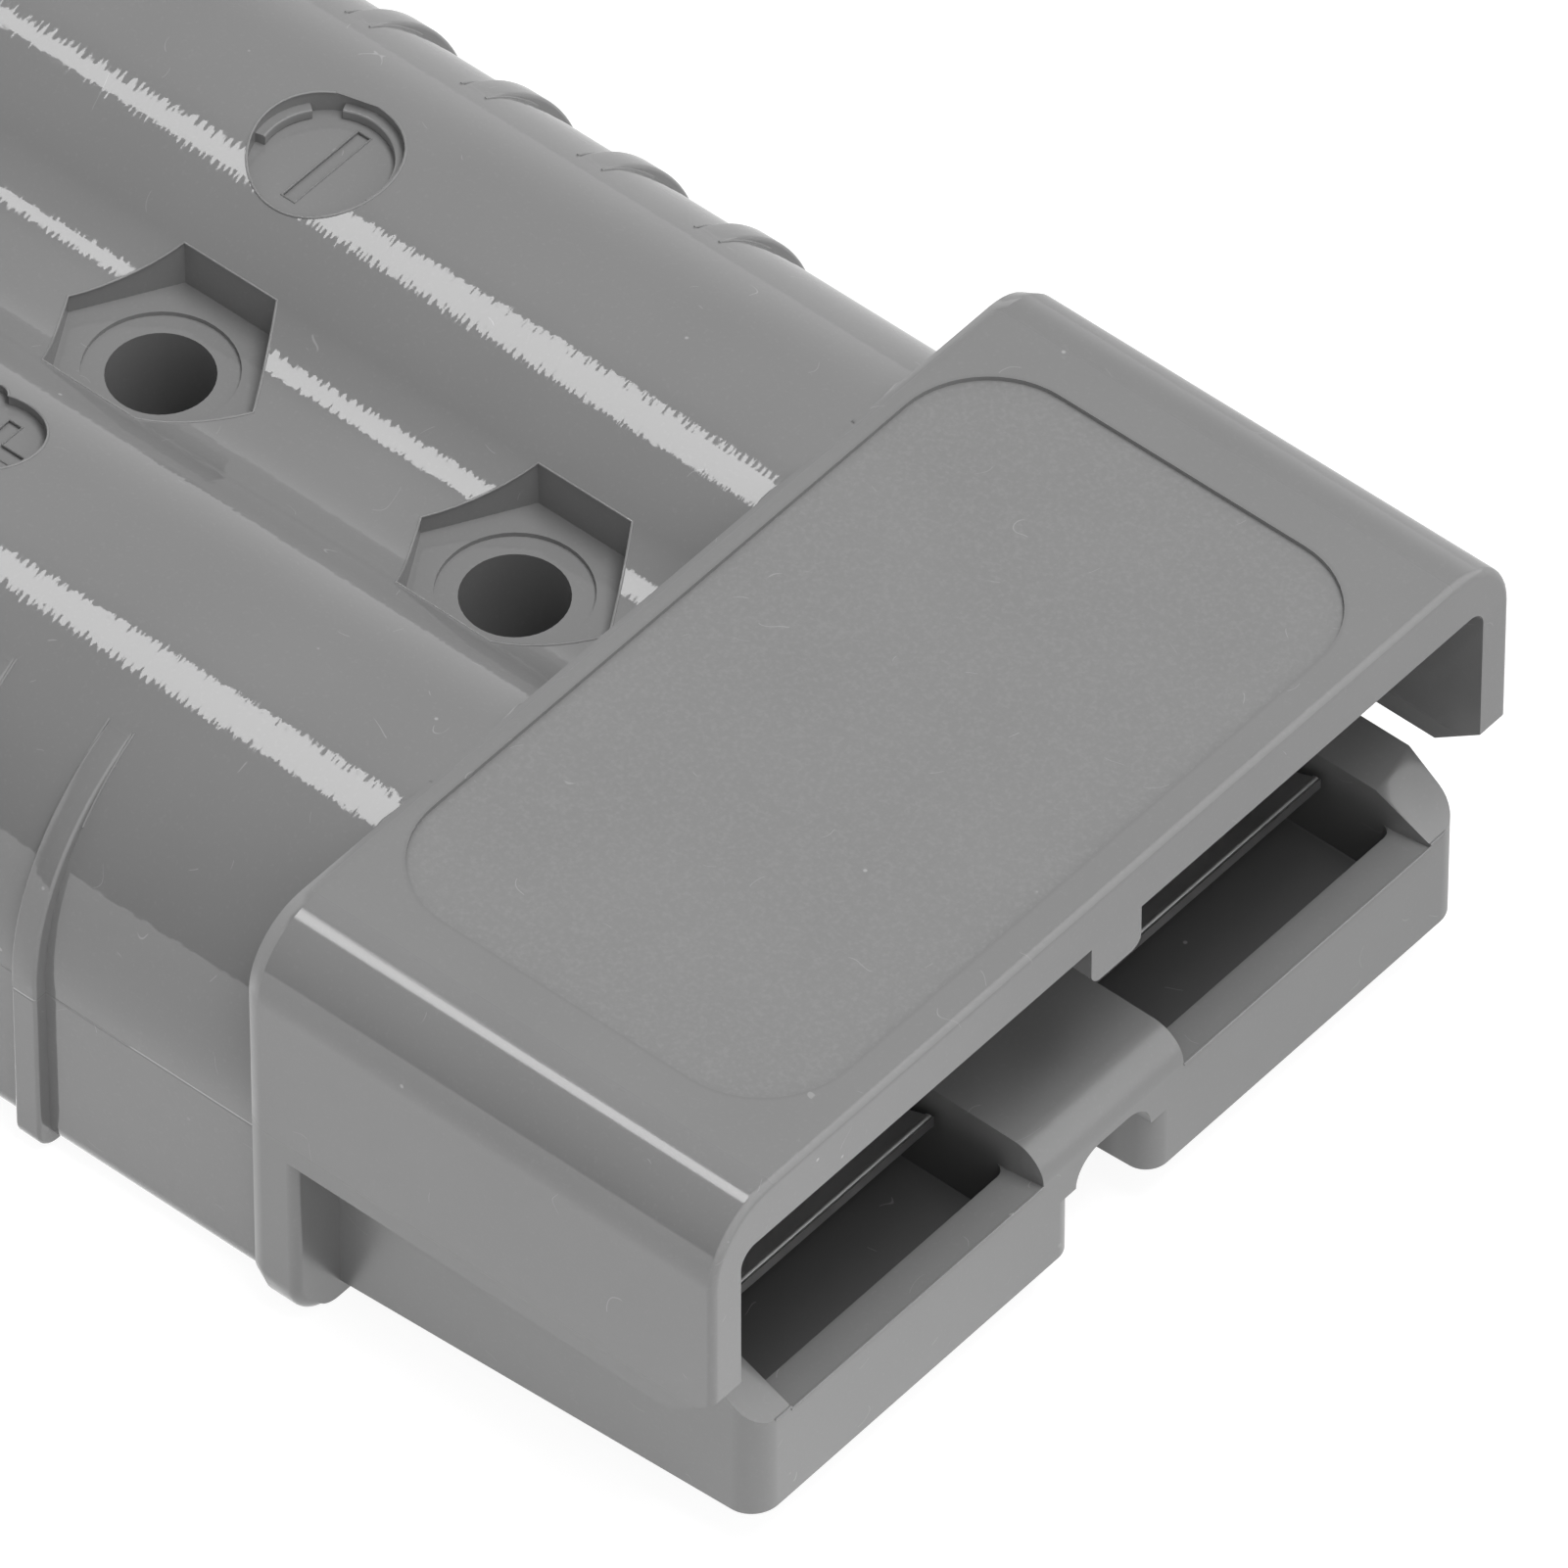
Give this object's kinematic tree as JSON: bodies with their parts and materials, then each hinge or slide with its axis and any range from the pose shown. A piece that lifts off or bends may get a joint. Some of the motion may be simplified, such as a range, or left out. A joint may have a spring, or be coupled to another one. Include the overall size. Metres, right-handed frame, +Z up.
{
  "type": "circular, coaxial and power connectors",
  "caption": "Two-pole genderless power connector housing in grey moulded plastic, with a keyed hood, two cable barrels, grip ribs, polarity marks and steel leaf springs in its contact cells",
  "frame": {"origin": "the middle of the front edge of the hood, on the mating plane", "axes": "+X is the mating direction, out of the hood's mouth; +Y is the side of the minus mark; +Z is up, from the flat base to the hood"},
  "size_m": [0.079, 0.056, 0.0248],
  "materials": {
    "housing_plastic": "neutral mid-grey moulded plastic, glossy on the barrels and the collar, spark-eroded texture on the hood's panel",
    "spring_steel": "bright rolled stainless spring strip"
  },
  "bodies": {
    "root": {"housing": "housing_plastic", "left_spring": "spring_steel", "right_spring": "spring_steel"}
  },
  "joints": []
}
